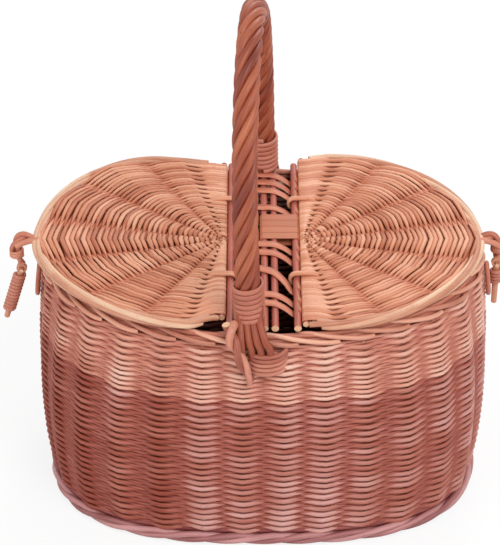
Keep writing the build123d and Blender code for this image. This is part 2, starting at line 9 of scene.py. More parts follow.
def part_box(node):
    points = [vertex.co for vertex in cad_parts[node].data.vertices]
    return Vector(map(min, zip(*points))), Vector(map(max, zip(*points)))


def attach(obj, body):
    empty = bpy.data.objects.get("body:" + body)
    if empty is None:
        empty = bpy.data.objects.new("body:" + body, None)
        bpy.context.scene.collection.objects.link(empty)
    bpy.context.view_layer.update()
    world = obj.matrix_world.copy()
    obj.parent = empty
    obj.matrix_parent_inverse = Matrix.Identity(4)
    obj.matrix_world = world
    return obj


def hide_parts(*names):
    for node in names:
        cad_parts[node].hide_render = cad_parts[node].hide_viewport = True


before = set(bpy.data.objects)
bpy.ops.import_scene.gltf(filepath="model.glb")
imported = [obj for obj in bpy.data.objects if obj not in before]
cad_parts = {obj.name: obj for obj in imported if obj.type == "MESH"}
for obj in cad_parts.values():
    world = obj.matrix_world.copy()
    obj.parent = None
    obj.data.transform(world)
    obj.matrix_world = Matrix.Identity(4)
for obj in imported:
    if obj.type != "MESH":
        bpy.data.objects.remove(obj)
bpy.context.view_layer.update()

# Siding. Willow rods are woven in front of one stake and behind the next, each row the other way about, so
# that a column of knees stands over every stake. The lower rods are reddish, the upper ones paler and pinker,
# and thin tips are packed close where the two bands meet.
mm = 0.001
stake_count = 30
half_length, half_depth = 195 * mm, 134 * mm
siding_foot, colour_change, siding_top = 13.5 * mm, 169 * mm, 226 * mm
belly, foot_tuck = 7 * mm, 5 * mm
foot_squareness, rim_squareness = 2.75, 2.1
upwards = Vector((0, 0, 1))
dice = random.Random(41)


def wall_oval(height):
    """Half length and half depth of the oval of stakes at a height."""
    rise = height / siding_top
    growth = belly * 4 * rise * (1 - rise) - foot_tuck * (1 - rise) ** 5
    return half_length + growth, half_depth + growth


def oval_point(share, height, outward=0.0):
    """A point beside the oval of stakes, at a share of the way round from +X."""
    length, depth = wall_oval(height)
    power = foot_squareness + (rim_squareness - foot_squareness) * height / siding_top
    cosine, sine = math.cos(2 * math.pi * share), math.sin(2 * math.pi * share)
    x, y = cosine / length, sine / depth
    reach = (abs(x) ** power + abs(y) ** power) ** (-1 / power)
    across = Vector((
        math.copysign(abs(x) ** (power - 1), x) / length, math.copysign(abs(y) ** (power - 1), y) / depth, 0
    ))
    return Vector((reach * cosine, reach * sine, height)) + across.normalized() * outward


round_steps = 720
round_lengths = [0.0]
for step in range(round_steps):
    stretch = oval_point((step + 1) / round_steps, siding_top) - oval_point(step / round_steps, siding_top)
    round_lengths.append(round_lengths[-1] + stretch.length)


def stake_share(number):
    """The share of the way round at a number of stake spaces from +X, whole or not."""
    turns, rest = divmod(number / stake_count, 1.0)
    wanted = rest * round_lengths[-1]
    low, high = 0, round_steps
    while high - low > 1:
        middle = (low + high) // 2
        if round_lengths[middle] <= wanted:
            low = middle
        else:
            high = middle
    part = (wanted - round_lengths[low]) / (round_lengths[low + 1] - round_lengths[low])
    return turns + (low + part) / round_steps


def new_rods():
    """An empty mesh for rods. A vertex keeps its place on the straightened rod, its tone and its painted
    shade.
    """
    mesh = bmesh.new()
    mesh.verts.layers.float_vector.new("lay")
    mesh.verts.layers.float.new("tone")
    mesh.verts.layers.float.new("painted_shade")
    return mesh


def lay_rod(mesh, line, radius, tone, thick=None, sides=6, upright=None, side=None, painted_shade=None, taper=1.0):
    """Rolls a grid of faces up round a line of points and closes its ends with cut wood.

    Radius is half the section's width, and thick half its height, which is measured along upright if that is
    given. Radius, thick and tone may be lists with a value for each point, as the painted shade always is."""
    count = len(line)
    layers = mesh.verts.layers
    lay, shade, depth = layers.float_vector["lay"], layers.float["tone"], layers.float["painted_shade"]
    sizes = [1 + (taper - 1) * number / (count - 1) for number in range(count)]
    widths = radius if isinstance(radius, list) else [radius * size for size in sizes]
    heights = thick if isinstance(thick, list) else [thick * size for size in sizes] if thick else widths
    tones = tone if isinstance(tone, list) else [tone] * count
    places, run_before = [], None
    along = dice.uniform(0, 20)
    for number, point in enumerate(line):
        run = (line[min(number + 1, count - 1)] - line[max(number - 1, 0)]).normalized()
        if upright is not None:
            side = upright.cross(run).normalized()
        elif side is None:
            side = run.orthogonal().normalized()
        elif run_before is not None:
            side = (run_before.rotation_difference(run) @ side).normalized()
        places.append((point, side * widths[number], run.cross(side) * heights[number], along))
        along += (line[min(number + 1, count - 1)] - point).length
        run_before = run
    sheet = bmesh.ops.create_grid(mesh, x_segments=count - 1, y_segments=sides, size=1.0)["verts"]
    for number, vert in enumerate(sheet):
        turn, step = divmod(number, count)
        point, across, up, along = places[step]
        angle = 2 * math.pi * turn / sides
        vert.co = point + across * math.cos(angle) + up * math.sin(angle)
        vert[lay] = (widths[step] * math.cos(angle), heights[step] * math.sin(angle), along)
        vert[shade] = tones[step]
        # How much painted shade darkens the rod here, 0 where none is painted
        vert[depth] = painted_shade[step] if painted_shade else 0.0
    ends = [vert for number, vert in enumerate(sheet) if number % count in (0, count - 1)]
    bmesh.ops.remove_doubles(mesh, verts=sheet[:count] + sheet[-count:], dist=1e-7)
    rings = {edge for vert in ends if vert.is_valid for edge in vert.link_edges if edge.is_boundary}
    for cap in bmesh.ops.holes_fill(mesh, edges=list(rings), sides=sides)["faces"]:
        cap.material_index = 1
        for edge in cap.edges:
            edge.smooth = False


def finish_rods(mesh, name, body, node, paint):
    """Turns a mesh of rods into a piece that rides on a body and stands for a CAD node."""
    bmesh.ops.recalc_face_normals(mesh, faces=mesh.faces)
    for face in mesh.faces:
        face.smooth = face.material_index == 0
    data = bpy.data.meshes.new(name)
    mesh.to_mesh(data)
    mesh.free()
    piece = bpy.data.objects.new(name, data)
    bpy.context.scene.collection.objects.link(piece)
    data.materials.append(paint)
    data.materials.append(cut_paint)
    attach(piece, body)
    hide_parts(node)


def paint_solids(paint, *nodes):
    """Gives CAD solids that stay as they are their material."""
    for node in nodes:
        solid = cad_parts[node]
        solid.data.materials.clear()
        solid.data.materials.append(paint)


def linear(red, green, blue):
    """A colour as it is seen on a screen, 0 to 255, turned into the shader's own scale."""
    return tuple((value / 255) ** 2.2 for value in (red, green, blue)) + (1.0,)


willow = bpy.data.node_groups.new("willow skin", "ShaderNodeTree")
for name, kind in [
    ("Lay", "NodeSocketVector"), ("Tone", "NodeSocketFloat"), ("Painted Shade", "NodeSocketFloat"),
    ("Pale", "NodeSocketColor"), ("Middle", "NodeSocketColor"), ("Dark", "NodeSocketColor"),
]:
    willow.interface.new_socket(name, in_out="INPUT", socket_type=kind)
for name, kind in [
    ("Color", "NodeSocketColor"), ("Roughness", "NodeSocketFloat"), ("Height", "NodeSocketFloat"),
]:
    willow.interface.new_socket(name, in_out="OUTPUT", socket_type=kind)


def put(tree, kind, inputs=(), **settings):
    """A new node with its settings and inputs, where an input is a value or another node's output."""
    node = tree.nodes.new(kind)
    for key, value in settings.items():
        setattr(node, key, value)
    for key, value in dict(inputs).items():
        if isinstance(value, bpy.types.NodeSocket):
            tree.links.new(value, node.inputs[key])
        else:
            node.inputs[key].default_value = value
    return node


def streaks(vector, stretch, detail):
    """Noise on the straightened rod, stretched along it."""
    mapping = put(willow, "ShaderNodeMapping", {"Vector": vector, "Scale": stretch})
    cloud = put(willow, "ShaderNodeTexNoise", {"Vector": mapping.outputs[0], "Scale": 1.0, "Detail": detail})
    return cloud.outputs["Fac"]


def scaled_sum(value, factor, added):
    """A value times a factor, and another value added to it."""
    return put(willow, "ShaderNodeMath", {0: value, 1: factor, 2: added}, operation="MULTIPLY_ADD").outputs[0]


def mapped(tree, value, span, onto=(0.0, 1.0)):
    """A value's place in one span, found again in another."""
    ends = {1: span[0], 2: span[1], 3: onto[0], 4: onto[1]}
    return put(tree, "ShaderNodeMapRange", {0: value, **ends}).outputs[0]


def mixed(factor, first, second, blend_type="MIX"):
    """The colour between two colours."""
    node = put(willow, "ShaderNodeMix", data_type="RGBA", blend_type=blend_type)
    for socket, value in [(0, factor), (6, first), (7, second)]:
        if isinstance(value, bpy.types.NodeSocket):
            willow.links.new(value, node.inputs[socket])
        else:
            node.inputs[socket].default_value = value
    return node.outputs[2]


# Fine grain, broad bands and patches are added to the rod's own tone, which picks a colour from dark to pale.
# Flecks of the dark colour lie on top, and painted shade makes what lies far inside the weave darker and
# redder.
given = willow.nodes.new("NodeGroupInput").outputs
fine = streaks(given["Lay"], (1400, 1400, 45), 3.0)
broad = streaks(given["Lay"], (260, 260, 14), 2.0)
patch = streaks(given["Lay"], (40, 40, 22), 2.0)
fleck = streaks(given["Lay"], (500, 500, 330), 1.0)
grain = scaled_sum(fine, 0.55, -0.275)
bands = scaled_sum(broad, 0.7, grain)
spots = scaled_sum(patch, 0.8, bands)
toned = scaled_sum(given["Tone"], 0.9, spots)
skin = mixed(mapped(willow, toned, (0.65, 1.15)), given["Dark"], given["Middle"])
skin = mixed(mapped(willow, toned, (1.15, 1.75)), skin, given["Pale"])
skin = mixed(mapped(willow, fleck, (0.66, 0.78), (0.0, 0.45)), skin, given["Dark"])
# Painted shade: the skin times a dark red tint, mixed in as far as the rod's painted shade value says
painted_shade_tint = (0.72, 0.34, 0.28, 1.0)
shaded_skin = mixed(1.0, skin, painted_shade_tint, "MULTIPLY")
skin = mixed(given["Painted Shade"], skin, shaded_skin)
gloss = mapped(willow, bands, (0.1, 0.7), (0.38, 0.6))
shown = willow.nodes.new("NodeGroupOutput")
willow.links.new(skin, shown.inputs["Color"])
willow.links.new(gloss, shown.inputs["Roughness"])
willow.links.new(bands, shown.inputs["Height"])


def willow_paint(name, pale, middle, dark, woven=True, stretch=(1, 1, 1), tone=0.5):
    """Bark or peeled willow. Woven rods bring their own grain, and a solid takes it from where it lies."""
    paint = bpy.data.materials.new(name)
    paint.use_nodes = True
    tree = paint.node_tree
    shader = tree.nodes["Principled BSDF"]
    skin = put(tree, "ShaderNodeGroup", node_tree=willow)
    for socket, colour in [("Pale", pale), ("Middle", middle), ("Dark", dark)]:
        skin.inputs[socket].default_value = linear(*colour)
    if woven:
        for socket, layer, output in [
            ("Lay", "lay", "Vector"), ("Tone", "tone", "Fac"), ("Painted Shade", "painted_shade", "Fac"),
        ]:
            source = put(tree, "ShaderNodeAttribute", attribute_name=layer)
            tree.links.new(source.outputs[output], skin.inputs[socket])
    else:
        place = put(tree, "ShaderNodeTexCoord")
        laid = put(tree, "ShaderNodeMapping", {"Vector": place.outputs["Object"], "Scale": stretch})
        tree.links.new(laid.outputs[0], skin.inputs["Lay"])
        skin.inputs["Tone"].default_value = tone
    grain_depth = {"Strength": 0.25, "Distance": 0.6 * mm}
    bump = put(tree, "ShaderNodeBump", {"Height": skin.outputs["Height"], **grain_depth})
    tree.links.new(skin.outputs["Color"], shader.inputs["Base Color"])
    tree.links.new(skin.outputs["Roughness"], shader.inputs["Roughness"])
    tree.links.new(bump.outputs[0], shader.inputs["Normal"])
    shader.inputs["Specular IOR Level"].default_value = 0.42
    return paint


# The round white wood that shows where a rod is cut across
cut_paint = willow_paint(
    "cut willow", (232, 196, 160), (214, 168, 132), (150, 100, 76), woven=False, stretch=(0.3, 0.3, 6)
)
lower_paint = willow_paint("reddish siding", (204, 152, 144), (168, 98, 82), (136, 58, 40))
upper_paint = willow_paint("pale siding", (226, 184, 166), (208, 147, 126), (164, 88, 68))

knee = 5.2 * mm
knee_steps = 6
foot_weaver_radius, weaver_radius, tip_radius = 1.9 * mm, 1.7 * mm, 1.35 * mm
foot_rows_top, packed_tips = 60 * mm, 26 * mm
foot_rise, lower_rise, tip_rise, upper_rise = 3.75 * mm, 3.3 * mm, 2.5 * mm, 3.25 * mm
row_sway, sway_climb = 0.6 * mm, 90 * mm
packing_radius, packing_outward = 2.1 * mm, 1.0 * mm
# Tone weights: random columns and blotches, a painted highlight on the lower front and painted shade on the
# left
column_tone, blotch_tone, front_highlight_tone, left_shade_tone = 0.5, 0.3, 0.45, -1.3
highlight_share, highlight_spread, highlight_height = 0.76, 0.07, 120 * mm
shade_share, shade_spread = 0.55, 0.09
ring_shares = [stake_share(step / 3) for step in range(3 * stake_count + 1)]


def patched_tones(count, low, high, lengths):
    """Tones along a row that is pieced together from several rods."""
    tones = []
    while len(tones) < count:
        tones += [dice.uniform(low, high)] * dice.randrange(*lengths)
    return tones[:count]


def wall_tone(share, level):
    """How much paler the siding is at a place: random columns and blotches, a painted highlight in front,
    painted shade at left.
    """
    angle = 2 * math.pi * share
    column = noise.noise(Vector((5 * math.cos(angle), 5 * math.sin(angle), 0.5)))
    blotch = noise.noise(Vector((4 * math.cos(angle), 4 * math.sin(angle), level * 30)))
    # Painted highlight: a pool of light on the lower front, fading out upwards
    front = math.exp(-(((share % 1) - highlight_share) / highlight_spread) ** 2) * max(0.0, 1 - level / highlight_height)
    # Painted shade on the left side, strongest near the foot
    left = math.exp(-(((share % 1) - shade_share) / shade_spread) ** 2) * (1 - 0.6 * level / siding_top)
    return column_tone * column + blotch_tone * blotch + front_highlight_tone * front + left_shade_tone * left


def swayed(share, level):
    """The level of a row at a share of the way round, as no row is quite even."""
    between_rims = 1 - abs(2 * level / siding_top - 1)
    return level + row_sway * math.sin(2 * math.pi * (3 * share + level / sway_climb)) * between_rims


def woven_row(mesh, row, level, rise, radius, low, high):
    """A row of weavers, once round the basket in front of every second stake, and a straight rod that packs
    the gap up to the next row. Painted shade darkens the weavers where they bend inwards, and the packing rod
    all along."""
    start = dice.randrange(stake_count // 2) * 2 + (1 if row % 2 == 0 else 0)
    line, heights, painted_shade, places = [], [], [], []
    for step in range(stake_count * knee_steps + 1):
        number = start - 0.5 + step / knee_steps
        swing = math.asin(0.95 * math.cos(math.pi * (number + row))) / math.asin(0.95)
        share = stake_share(number)
        line.append(oval_point(share, swayed(share, level), knee * swing))
        heights.append(radius * (1.15 + 0.2 * abs(swing)))
        # Painted shade where the rod bends in between the knees
        painted_shade.append(0.6 * (1 - abs(swing)) ** 1.5)
        places.append(wall_tone(share, level))
    tones = [tone + place for tone, place in zip(patched_tones(len(line), low, high, (8, 40)), places)]
    lay_rod(mesh, line, radius, tones, heights, upright=upwards, painted_shade=painted_shade)
    packing = [oval_point(share, swayed(share, level) + rise / 2, packing_outward) for share in ring_shares]
    # Painted shade all along the packing rod, which lies back between the rows
    dark = [0.4] * len(packing)
    lay_rod(mesh, packing, packing_radius, 0.3, rise * 0.53, sides=4, upright=upwards, painted_shade=dark)


row_levels = []
level = siding_foot + 1.4 * mm
while level < siding_top - 0.8 * mm:
    if level < foot_rows_top:
        rise, radius = foot_rise, foot_weaver_radius
    elif level < colour_change - 2 * mm:
        rise, radius = lower_rise, weaver_radius
    elif level < colour_change + packed_tips:
        rise, radius = tip_rise, tip_radius
    else:
        rise, radius = upper_rise, weaver_radius
    row_levels.append((level, rise, radius))
    level += rise

lower_rows, upper_rows = new_rods(), new_rods()
for row, (level, rise, radius) in enumerate(row_levels):
    band = lower_rows if level < colour_change else upper_rows
    darkest = 0.6 if radius == tip_radius else 0.4
    woven_row(band, row, level, rise, radius, darkest, 0.85)
finish_rods(lower_rows, "lower_weavers", "root", "lower_siding", lower_paint)
finish_rods(upper_rows, "upper_weavers", "root", "upper_siding", upper_paint)

# Stakes. Thirty stout willow rods with their bark stand round the floor, and the weavers hide all but a
# glimpse of them. The core of the handle is a rod of the same kind.
stake_paint = willow_paint("stake bark", (150, 92, 74), (110, 60, 48), (70, 30, 26), woven=False, tone=0.4)
paint_solids(stake_paint, "side_stakes", "handle_core")

# Floor. Seven slit sticks lie across, and three sticks are threaded through them. Rods are woven in rings
# over and under the sticks, from the middle out to the stakes.
floor_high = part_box("base_weave")[1]
cross_low, cross_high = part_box("base_cross_sticks")
stick_level = (cross_low.z + cross_high.z) / 2
floor_paint = willow_paint("floor willow", (196, 140, 112), (160, 100, 78), (104, 54, 42))
cross_pitch, long_pitch = 44 * mm, 46 * mm
cross_places = [number * cross_pitch for number in range(-3, 4)]
long_places = [number * long_pitch for number in range(-1, 2)]
floor_rows = 26
floor_reach = 3 * mm
floor_swing = 1.9 * mm
floor_radius, floor_thick = 3.0 * mm, 1.9 * mm
ring_end_rise = Vector((0, 0, 0.2 * mm))
floor_mesh = new_rods()
for row in range(floor_rows):
    part = (row + 0.6) / floor_rows
    width = (floor_high.x + floor_reach) * (part * 0.72 + 0.28)
    depth = (floor_high.y + floor_reach) * part
    bend = 2 / (2 + 0.75 * part)
    crossed = []
    for place in cross_places:
        if abs(place) < width:
            angle = math.acos(math.copysign(abs(place / width) ** (1 / bend), place))
            crossed += [angle, 2 * math.pi - angle]
    for place in long_places:
        if abs(place) < depth:
            angle = math.asin(math.copysign(abs(place / depth) ** (1 / bend), place))
            crossed += [angle % (2 * math.pi), math.pi - angle]
    crossed.sort()
    crossed.append(crossed[0] + 2 * math.pi)
    line = []
    for number in range(len(crossed) - 1):
        for step in range(5):
            angle = crossed[number] + (crossed[number + 1] - crossed[number]) * step / 5
            cosine, sine = math.cos(angle), math.sin(angle)
            line.append(Vector((
                width * math.copysign(abs(cosine) ** bend, cosine),
                depth * math.copysign(abs(sine) ** bend, sine),
                stick_level + floor_swing * math.cos(math.pi * (number + step / 5 + row)),
            )))
    line += [line[0] + ring_end_rise, line[1] + ring_end_rise]
    lay_rod(floor_mesh, line, floor_radius, dice.uniform(0.1, 0.9), floor_thick, upright=upwards)
finish_rods(floor_mesh, "floor_weavers", "root", "base_weave", floor_paint)
paint_solids(stake_paint, "base_cross_sticks", "base_long_sticks")

# Foot wale. Three thick rods are laid over one another round the foot like a rope, and lock the stakes in
# place. Three plain rods behind them close the foot.
foot_low, foot_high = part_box("foot_wale")
foot_middle = (foot_low.z + foot_high.z) / 2
foot_mesh = new_rods()
foot_radius = 2.9 * mm
foot_outward, foot_swing = 6.2 * mm, 1.9 * mm
for strand in range(3):
    line = []
    for step in range(stake_count * 6 + 1):
        number = step / 6
        turned = 2 * math.pi * (number / 3 + strand / 3)
        outward = foot_outward + foot_swing * math.cos(turned)
        height = foot_middle + (foot_middle - foot_radius) * math.sin(turned)
        line.append(oval_point(stake_share(number), height, outward))
    lay_rod(foot_mesh, line, foot_radius, 0.25 + 0.25 * strand, sides=8, upright=upwards)


def closing_ring(mesh, height, outward, radius, tone, thick, painted_shade):
    """A plain rod round the basket that closes the gaps behind twisted or laid ones, darkened by painted
    shade.
    """
    line = [oval_point(share, height, outward) for share in ring_shares]
    lay_rod(mesh, line, radius, tone, thick, upright=upwards, painted_shade=[painted_shade] * len(line))


# The rods behind the foot wale carry strong painted shade
for height in [4 * mm, 9 * mm, 13.5 * mm]:
    closing_ring(foot_mesh, height, 1.6 * mm, 2.4 * mm, 0.2, 2.9 * mm, 0.8)
foot_paint = willow_paint("foot willow", (206, 154, 152), (166, 110, 108), (118, 60, 60))
finish_rods(foot_mesh, "foot_rods", "root", "foot_wale", foot_paint)

# Rim border. Each stake is bent over, laid along the rim in front of the next two, and tucked in under them.
# Two plain rods inside close the border.
border_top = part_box("rim_border")[1].z
border_radius = 2.4 * mm
border_reach, border_stray = 2.3, 0.1
border_drop = 8.0 * mm


def smooth_line(points, steps):
    """A smooth line through all the points."""
    line = []
    for number in range(len(points) - 1):
        first, second = points[number], points[number + 1]
        start = (second - points[max(number - 1, 0)]) / 6
        end = (points[min(number + 2, len(points) - 1)] - first) / 6
        for step in range(steps):
            part = step / steps
            rest = 1 - part
            line.append(
                first * rest**3 + (first + start) * 3 * rest**2 * part
                + (second - end) * 3 * rest * part**2 + second * part**3
            )
    return line + [points[-1]]


border_mesh = new_rods()
for number in range(stake_count):
    stray = dice.uniform(-border_stray, border_stray)
    points = [
        oval_point(stake_share(number), siding_top - 5 * mm),
        oval_point(stake_share(number + 0.12), siding_top + 4 * mm, -2.5 * mm),
    ]
    for part, outward in [(0.25, -2.0), (0.5, 2.5), (0.75, 5.5), (0.9, 5.5), (1.0, 3.0)]:
        height = border_top - border_radius - border_drop * part**1.6
        points.append(oval_point(stake_share(number + (border_reach + stray) * part), height, outward * mm))
    lay_rod(border_mesh, smooth_line(points, 4), border_radius, dice.uniform(0.1, 0.9), sides=8, taper=0.9)
# The rods inside the border carry some painted shade
for height in [229 * mm, 233.5 * mm]:
    closing_ring(border_mesh, height, -0.5 * mm, 2.6 * mm, 0.3, 2.8 * mm, 0.4)
border_paint = willow_paint("border willow", (226, 172, 146), (200, 136, 112), (150, 82, 66))
finish_rods(border_mesh, "border_rods", "root", "rim_border", border_paint)

# Bridge. Willow sticks run from the front rim to the back one between the lids, and the outer two carry the
# lids. Flat strips of split skein are wound under the outer sticks and over the inner ones, and close turns
# of skein are wrapped round three of the sticks.
along_y = Vector((0, 1, 0))
bridge_paint = willow_paint("bridge stick", (196, 116, 92), (166, 84, 68), (116, 44, 36))
skein_paint = willow_paint(
    "split skein", (192, 118, 84), (172, 98, 68), (136, 70, 46), woven=False, stretch=(0.1, 2.2, 0.6),
    tone=0.6,
)
hinge_low, hinge_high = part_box("bridge_hinge_stick_left")
hinge_level = (hinge_low.z + hinge_high.z) / 2
hinge_radius = (hinge_high.z - hinge_low.z) / 2
hinge_x = abs(hinge_low.x + hinge_high.x) / 2


def straight_line(x, front, back, level):
    """Points along Y between two corners of a box."""
    return [Vector((x, front.y + (back.y - front.y) * step / 12, level)) for step in range(13)]


for node, places in [
    ("bridge_hinge_stick_left", [-hinge_x]), ("bridge_hinge_stick_right", [hinge_x]),
    ("bridge_inner_sticks", [(-3.6 + 9 * number) * mm for number in (-1.5, -0.5, 0.5, 1.5)]),
]:
    stick_mesh = new_rods()
    for x in places:
        line = straight_line(x, hinge_low, hinge_high, hinge_level)
        lay_rod(stick_mesh, line, hinge_radius, dice.uniform(0.2, 0.7), sides=16)
    finish_rods(stick_mesh, node + "_rod", "root", node, bridge_paint)
strip_mesh = new_rods()
strip_flatness, strip_width = 0.45 * mm, 5.0 * mm
over = hinge_radius + 0.8 * mm
# Where each strip starts on the left and ends on the right, in mm from the middle of the basket
for first_y, last_y in [
    (110, 104), (97, 90), (83, 77), (54, 50), (-6, -11), (-19, -27), (-44, -72), (-84, -91), (-97, -105),
]:
    first_y, last_y = first_y * mm, last_y * mm
    line = []
    for x, y, height in [
        (-hinge_x - 1 * mm, first_y, -over), (-hinge_x + 6.2 * mm, first_y, 0), (-17 * mm, first_y, over),
        (-8 * mm, first_y, over), (1 * mm, first_y * 0.9 + last_y * 0.1, over),
        (10 * mm, first_y * 0.7 + last_y * 0.3, over), (19 * mm, first_y * 0.35 + last_y * 0.65, 0.2 * over),
        (hinge_x - 4 * mm, last_y, -0.8 * over),
        (hinge_x, last_y, -over), (hinge_x + over * 0.9, last_y, 0), (hinge_x + 1 * mm, last_y, over),
    ]:
        line.append(Vector((x, y, hinge_level + height)))
    tone = dice.uniform(0.3, 0.8)
    lay_rod(strip_mesh, smooth_line(line, 3), strip_flatness, tone, strip_width, upright=along_y)
strip_paint = willow_paint("skein strip", (214, 140, 108), (186, 108, 84), (144, 72, 54))
finish_rods(strip_mesh, "bridge_skein_strips", "root", "bridge_skeins", strip_paint)
paint_solids(skein_paint, "bridge_wrap")

# Handle. A bow of stout willow rod stands over the bridge, with its ends worked into the border. Six long
# rods are roped round it from front to back.
along_x = Vector((1, 0, 0))
handle_foot = hinge_high.z + 0.3 * mm
handle_rise, handle_span, handle_sway = 228 * mm, 124 * mm, 18.5 * mm
handle_front_x, handle_back_x = -12 * mm, 1 * mm
rope_strands, rope_line, strand_radius, rope_pitch = 6, 7.6 * mm, 3.7 * mm, 100 * mm
rope_steps = 150


def bow_point(part):
    """A point of the handle's middle line, from the front foot to the back one."""
    angle = math.pi * part
    lean = handle_sway * math.sin(angle) * (1 - part) ** 2
    x = handle_front_x + (handle_back_x - handle_front_x) * part - lean
    return Vector((x, -handle_span * math.cos(angle), handle_foot + handle_rise * math.sin(angle)))


def even_line(curve, steps):
    """Points of a curve at equal distances, and its length."""
    samples = 1500
    lengths = [0.0]
    for number in range(samples):
        lengths.append(lengths[-1] + (curve((number + 1) / samples) - curve(number / samples)).length)
    points, number = [], 0
    for step in range(steps + 1):
        while number < samples and lengths[number] < lengths[-1] * step / steps:
            number += 1
        points.append(curve(number / samples))
    return points, lengths[-1]


def across_line(points, side):
    """Two directions across a line at each of its points, the first as near as it goes to side."""
    frames = []
    for number in range(len(points)):
        run = (points[min(number + 1, len(points) - 1)] - points[max(number - 1, 0)]).normalized()
        first = (side - run * side.dot(run)).normalized()
        frames.append((first, run.cross(first)))
    return frames


bow_line, bow_length = even_line(bow_point, rope_steps)
bow_frames = across_line(bow_line, along_x)
rope_mesh = new_rods()
for strand in range(rope_strands):
    line = []
    for step, (point, (first, second)) in enumerate(zip(bow_line, bow_frames)):
        turned = 2 * math.pi * (strand / rope_strands + bow_length * step / rope_steps / rope_pitch)
        line.append(point + first * rope_line * math.cos(turned) + second * rope_line * math.sin(turned))
    lay_rod(rope_mesh, line, strand_radius, dice.uniform(0.2, 0.8), sides=12)
rope_paint = willow_paint("roped handle", (184, 108, 76), (144, 70, 48), (94, 34, 26))
finish_rods(rope_mesh, "handle_rope", "root", "handle_strands", rope_paint)

# Bindings. Above each end of the bow seven turns of thin cane are wound tight round the rope, and hold its
# rods together where they leave it.
binding_paint = willow_paint("binding cane", (200, 134, 112), (172, 101, 82), (130, 62, 48))
binding_turns, binding_start, binding_length = 7, 3.5 * mm, 35 * mm
rope_radius = 11.4 * mm
binding_cane, binding_cane_height = 1.4 * mm, 2.5 * mm


def wound_cane(mesh, foot, up, radius, cane, tall, length, turns, side, start=0.0):
    """A cane wound in even turns round a straight stretch from foot upwards."""
    across = (side - up * side.dot(up)).normalized()
    other = up.cross(across)
    steps = 20
    line = []
    for step in range(int(turns * steps) + 1):
        angle = start + 2 * math.pi * step / steps
        rise = length * step / (turns * steps)
        line.append(foot + up * rise + (across * math.cos(angle) + other * math.sin(angle)) * (radius + cane))
    lay_rod(mesh, line, cane, dice.uniform(0.5, 0.8), tall, sides=8, upright=up)


for name, foot_part, inner_part, start in [
    ("handle_binding_front", 0.0, 0.065, 0.0), ("handle_binding_back", 1.0, 0.935, math.pi),
]:
    foot = bow_point(foot_part)
    up = (bow_point(inner_part) - foot).normalized()
    cane_mesh = new_rods()
    wound_cane(
        cane_mesh, foot + up * binding_start, up, rope_radius, binding_cane, binding_cane_height,
        binding_length, binding_turns, along_y, start,
    )
    finish_rods(cane_mesh, name + "_cane", "root", name, binding_paint)

# Splayed ends. Below each binding four of the handle's rods spread over the border and go down into the
# weave, which holds the handle to the basket.
splay_rods, splay_radius = 4, 3.4 * mm
top_spacing, low_spacing = 5.6 * mm, 8 * mm
for name, facing, middle, shift in [
    ("front_splay_rods", -1, handle_front_x, 5 * mm), ("back_splay_rods", 1, handle_back_x, 0.0),
]:
    splay_mesh = new_rods()
    for number in range(splay_rods):
        offset = number - (splay_rods - 1) / 2
        top_x, low_x = middle + offset * top_spacing, middle + shift + offset * low_spacing
        points = [
            Vector((top_x, facing * (handle_span + 4 * mm), handle_foot + 20 * mm)),
            Vector((top_x, facing * (handle_span + 10 * mm), handle_foot + 5 * mm)),
            Vector(((top_x + low_x) / 2, facing * (half_depth + 10.5 * mm), border_top)),
            Vector((low_x, facing * (half_depth + 10.0 * mm), border_top - 9 * mm)),
            Vector((low_x + 1 * mm, facing * (half_depth + 5.5 * mm), border_top - 22 * mm)),
        ]
        lay_rod(splay_mesh, smooth_line(points, 5), splay_radius, dice.uniform(0.3, 0.9), sides=8)
    finish_rods(splay_mesh, name + "_bent", "root", name, rope_paint)

# Tail. Two thin rods are twisted together. They come down from the binding over the rim in front, and run out
# to a point on the siding.
tail_turns, tail_radius, tail_twist = 1.35, 3.9 * mm, 3.5 * mm
tail_low, tail_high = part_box("front_tail")
tail_points = [
    Vector((-29 * mm, -136.5 * mm, tail_high.z - 2 * mm)),
    Vector((-27 * mm, -147.0 * mm, 239 * mm)),
    Vector((-20 * mm, -147.5 * mm, 220 * mm)),
    Vector((-11 * mm, -145.5 * mm, tail_low.z + 1 * mm)),
]
tail_line = smooth_line(tail_points, 10)
tail_frames = across_line(tail_line, along_x)
tail_mesh = new_rods()
for strand in range(2):
    line = []
    for step, (point, (first, second)) in enumerate(zip(tail_line, tail_frames)):
        part = step / (len(tail_line) - 1)
        turned = math.pi * strand + 2 * math.pi * tail_turns * part
        reach = tail_twist * (1 - 0.4 * part)
        line.append(point + first * reach * math.cos(turned) + second * reach * math.sin(turned))
    lay_rod(tail_mesh, line, tail_radius, 0.9 - 0.7 * strand, sides=8, taper=0.7)
finish_rods(tail_mesh, "front_tail_twist", "root", "front_tail", binding_paint)

# Lashing. Beside the tail five turns of rod are laid over the siding, with both ends worked into it. They
# sag a little and rise to the right.
lashing_turns, lashing_pitch, lashing_radius = 5, 4.6 * mm, 2.1 * mm
lashing_mesh = new_rods()
lashing_low, lashing_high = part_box("front_lashing")
for turn in range(lashing_turns):
    height = lashing_high.z - 2.5 * mm - turn * lashing_pitch
    y = lashing_low.y + 2 * mm
    points = [
        Vector((-12 * mm, y + 4 * mm, height)),
        Vector((-6 * mm, y + 0.8 * mm, height - 1.4 * mm)),
        Vector((4 * mm, y, height - 1.8 * mm)),
        Vector((14 * mm, y + 0.8 * mm, height + 0.6 * mm)),
        Vector((20 * mm, y + 5 * mm, height + 3.6 * mm)),
    ]
    lay_rod(lashing_mesh, smooth_line(points, 5), lashing_radius, dice.uniform(0.3, 0.9), sides=8)
finish_rods(lashing_mesh, "front_lashing_turns", "root", "front_lashing", binding_paint)

